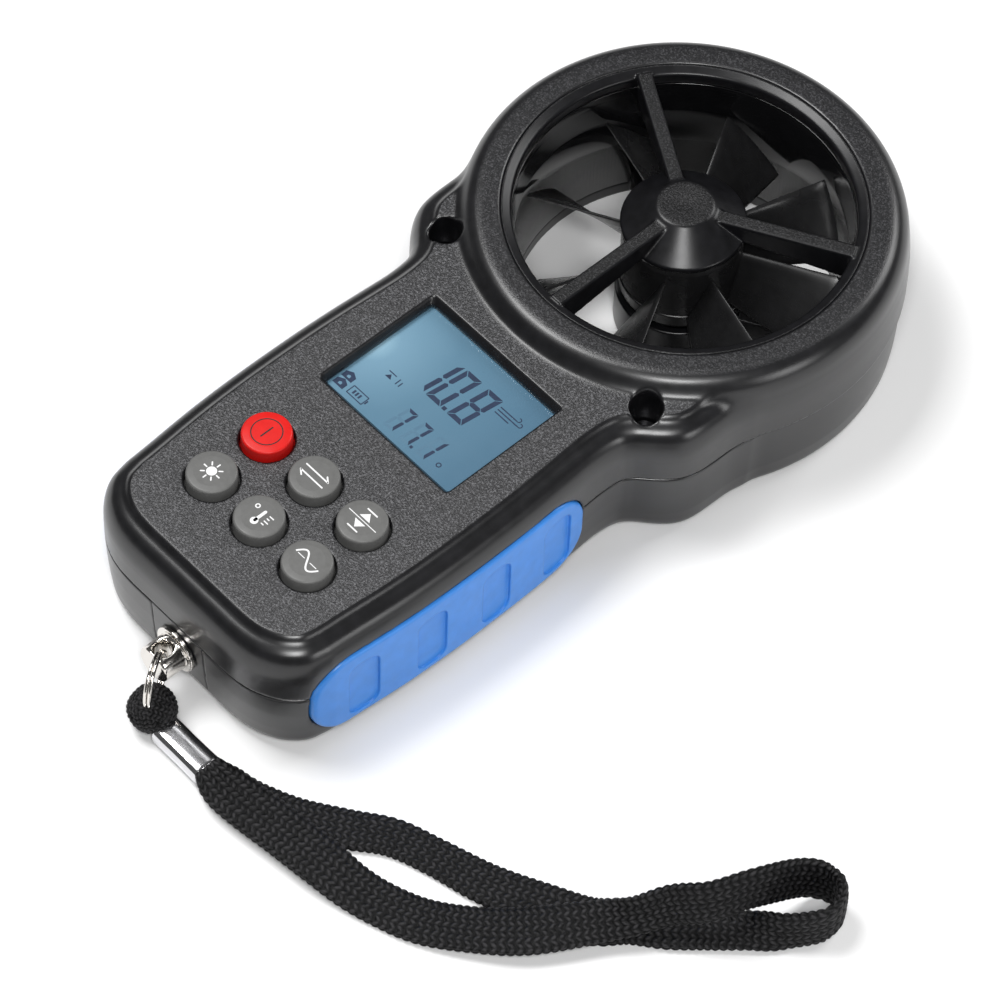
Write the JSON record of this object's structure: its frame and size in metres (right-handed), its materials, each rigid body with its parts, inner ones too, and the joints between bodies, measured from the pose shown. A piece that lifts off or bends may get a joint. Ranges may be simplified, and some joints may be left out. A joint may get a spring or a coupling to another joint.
{
  "type": "vane anemometer",
  "caption": "Handheld weather meter: vane wheel in a round head, black case with display and keys, blue side grips and a wrist strap on a ring.",
  "frame": {"origin": "on the back face, under the middle of the meter from the post's tip to the head's top", "axes": "+Y along the meter towards the vane head, +Z out of the display face, +X to the user's right when the display is read"},
  "size_m": [0.1607, 0.1821, 0.0349],
  "materials": {
    "case_black": "fine spark-eroded grain",
    "duct_black": "gloss",
    "vane_black": "satin",
    "grip_blue": "satin",
    "key_red": "satin",
    "key_grey": "satin",
    "lens": "clear",
    "lcd": "gloss",
    "backlight": "satin",
    "frame_white": "satin",
    "zebra": "matt",
    "board_green": "solder mask",
    "mat_grey": "matt",
    "bronze": "plain",
    "steel": "ground",
    "screw_zinc": "zinc plated",
    "magnet": "nickel plated",
    "sensor_black": "moulded",
    "ribbon": "flat cable",
    "bead": "epoxy",
    "battery_can": "satin",
    "clip_black": "moulded",
    "lead_red": "insulation",
    "nickel": "polished",
    "crimp": "polished",
    "cord_black": "braided"
  },
  "bodies": {
    "case": {"front_shell": "case_black", "rear_shell": "case_black", "anchor_block": "case_black", "grip_left": "grip_blue", "grip_right": "grip_blue", "case_screws": "screw_zinc", "duct_liner": "duct_black", "front_guard": "case_black", "rear_guard": "case_black", "front_bearing": "bronze", "rear_bearing": "bronze", "rotation_sensor": "sensor_black", "sensor_cable": "ribbon", "temperature_sensor": "bead", "display_lens": "lens", "lcd_panel": "lcd", "backlight": "backlight", "lcd_frame": "frame_white", "zebra_strip": "zebra", "circuit_board": "board_green", "key_mat": "mat_grey", "battery": "battery_can", "battery_clip": "clip_black", "battery_leads": "lead_red", "strap_post": "nickel", "post_nut": "nickel"},
    "impeller": {"impeller": "vane_black", "impeller_shaft": "steel", "sensor_magnets": "magnet"},
    "key_power": {"button_power": "key_red"},
    "key_units": {"button_units": "key_grey"},
    "key_maxmin": {"button_maxmin": "key_grey"},
    "key_light": {"button_light": "key_grey"},
    "key_temperature": {"button_temperature": "key_grey"},
    "key_average": {"button_average": "key_grey"},
    "cover": {"battery_cover": "case_black"},
    "strap": {"split_ring": "nickel", "strap_knot": "cord_black", "strap_crimp": "crimp", "wrist_strap": "cord_black"}
  },
  "joints": [
    {"name": "impeller_spin", "type": "hinge", "parent": "case", "child": "impeller", "pos_m": [0, 0.04425, 0.02], "axis": [0, 0, 1], "continuous": true},
    {"name": "power_press", "type": "slide", "parent": "case", "child": "key_power", "axis": [0, 0, -1], "range_m": [0, 0.0008], "stiffness_N_per_m": 1500, "springref_m": -0.001},
    {"name": "units_press", "type": "slide", "parent": "case", "child": "key_units", "axis": [0, 0, -1], "range_m": [0, 0.0008], "stiffness_N_per_m": 1500, "springref_m": -0.001},
    {"name": "maxmin_press", "type": "slide", "parent": "case", "child": "key_maxmin", "axis": [0, 0, -1], "range_m": [0, 0.0008], "stiffness_N_per_m": 1500, "springref_m": -0.001},
    {"name": "light_press", "type": "slide", "parent": "case", "child": "key_light", "axis": [0, 0, -1], "range_m": [0, 0.0008], "stiffness_N_per_m": 1500, "springref_m": -0.001},
    {"name": "temperature_press", "type": "slide", "parent": "case", "child": "key_temperature", "axis": [0, 0, -1], "range_m": [0, 0.0008], "stiffness_N_per_m": 1500, "springref_m": -0.001},
    {"name": "average_press", "type": "slide", "parent": "case", "child": "key_average", "axis": [0, 0, -1], "range_m": [0, 0.0008], "stiffness_N_per_m": 1500, "springref_m": -0.001},
    {"name": "cover_pull", "type": "slide", "parent": "case", "child": "cover", "axis": [0, 0, -1], "range_m": [0, 0.03]},
    {"name": "strap_swing", "type": "hinge", "parent": "case", "child": "strap", "pos_m": [0, -0.08405, 0.0105], "axis": [0, 0, 1], "range_deg": [-70, 10]}
  ]
}
